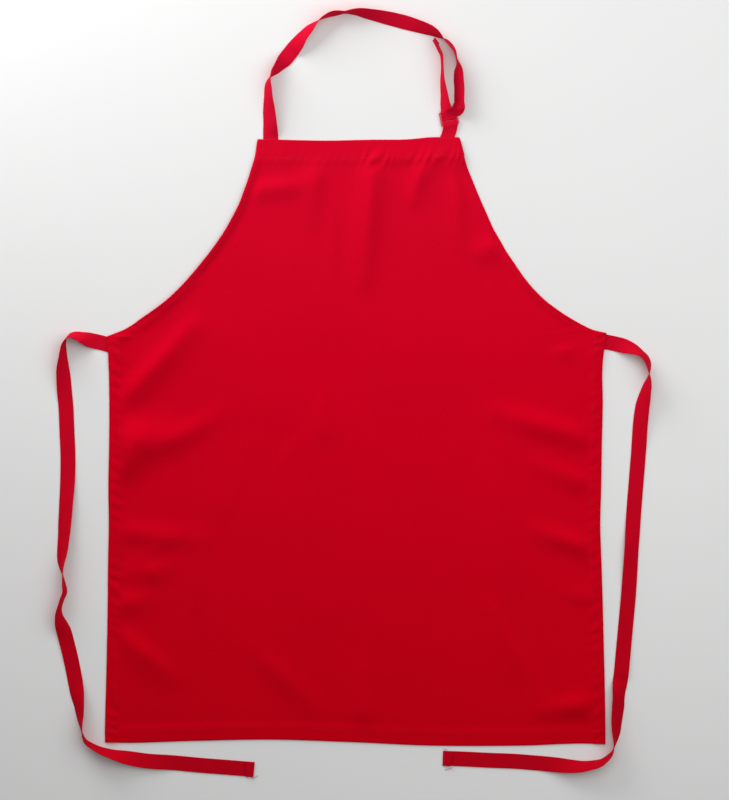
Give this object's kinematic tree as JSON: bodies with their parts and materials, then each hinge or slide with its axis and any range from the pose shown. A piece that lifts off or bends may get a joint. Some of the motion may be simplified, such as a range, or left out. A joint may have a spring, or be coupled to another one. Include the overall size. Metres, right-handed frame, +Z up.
{
  "type": "bib apron",
  "caption": "Plain red cotton bib apron laid flat, with an adjustable neck loop through a plastic slider and long waist ties.",
  "frame": {"origin": "bottom centre of the bounding box, on the surface that the apron lies on", "axes": "+Y from the skirt's lower edge to the neck loop, +Z up out of the cloth's face, +X to the right as seen from above"},
  "size_m": [0.834, 1.0738, 0.021],
  "materials": {
    "twill": "matt cotton twill",
    "tape": "matt herringbone tape",
    "slider_plastic": "moulded, soft gloss"
  },
  "bodies": {
    "root": {"panel": "twill", "neck_strap": "tape", "buckle_tab": "tape", "tie_left": "tape", "tie_right": "tape", "slide_buckle": "slider_plastic"}
  },
  "joints": []
}
